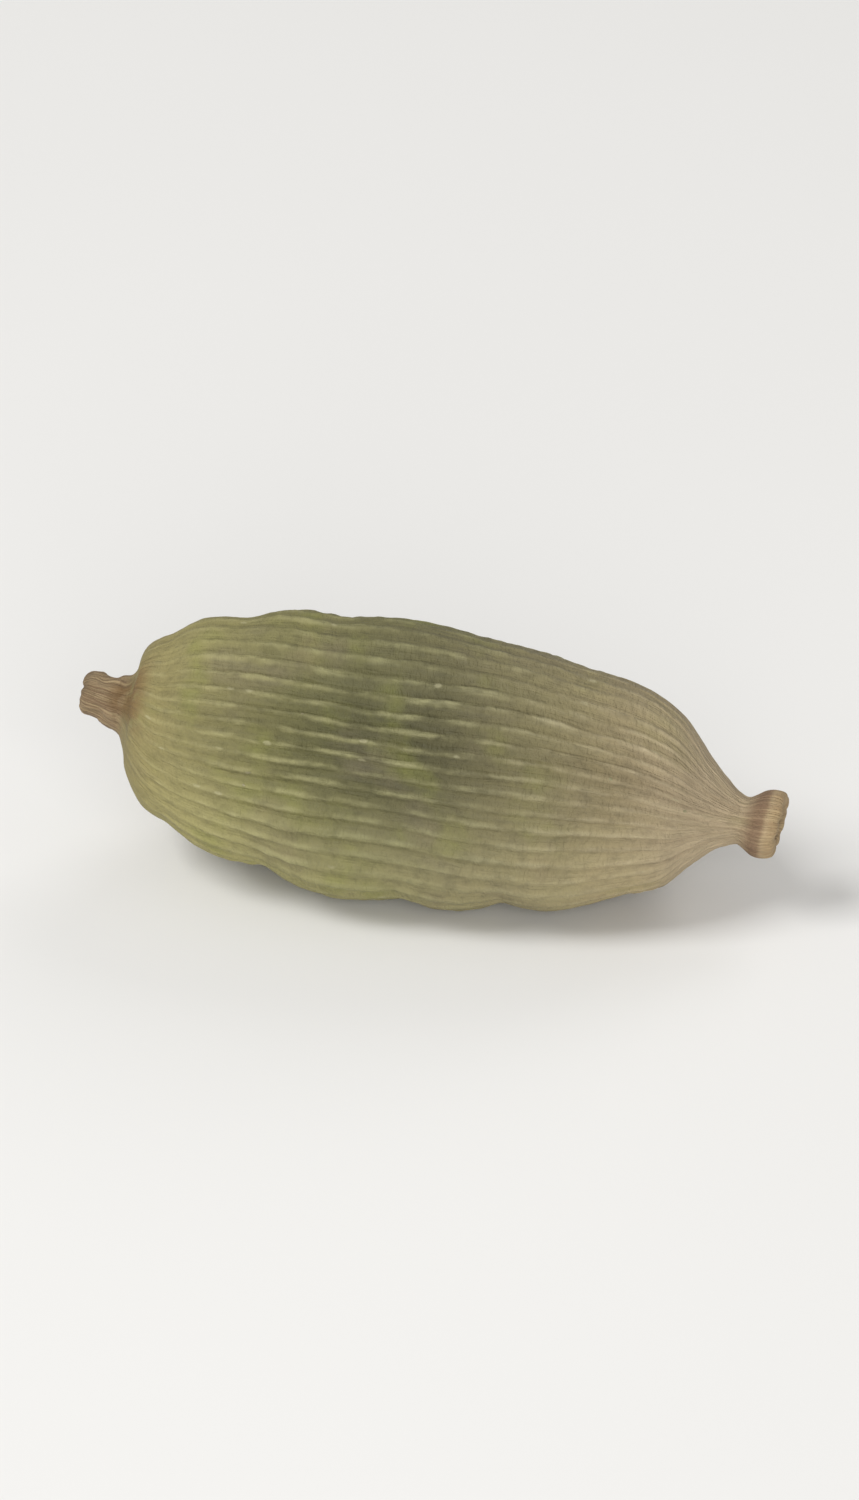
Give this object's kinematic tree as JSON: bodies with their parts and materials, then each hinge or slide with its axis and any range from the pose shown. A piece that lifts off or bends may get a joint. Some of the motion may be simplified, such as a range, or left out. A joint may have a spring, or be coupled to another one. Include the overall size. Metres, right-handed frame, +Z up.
{
  "type": "green cardamom pod",
  "caption": "Whole dried green cardamom pod: a plump three-cornered ribbed husk with a short stalk stub at one end and a flared tan beak at the other, lying on its side.",
  "frame": {"origin": "middle of the bounding box at the bottom, on the surface that the pod lies on, inside its flat spot", "axes": "+X along the pod from the stalk stub to the beak, +Y towards the back, +Z up; the front is seen from -Y"},
  "size_m": [0.0228, 0.009, 0.0088],
  "materials": {
    "husk": "dry fibrous plant husk, matt, grey-green along the middle, yellow-green at the stalk end and tan at the beak"
  },
  "bodies": {
    "root": {"pod": "husk"}
  },
  "joints": []
}
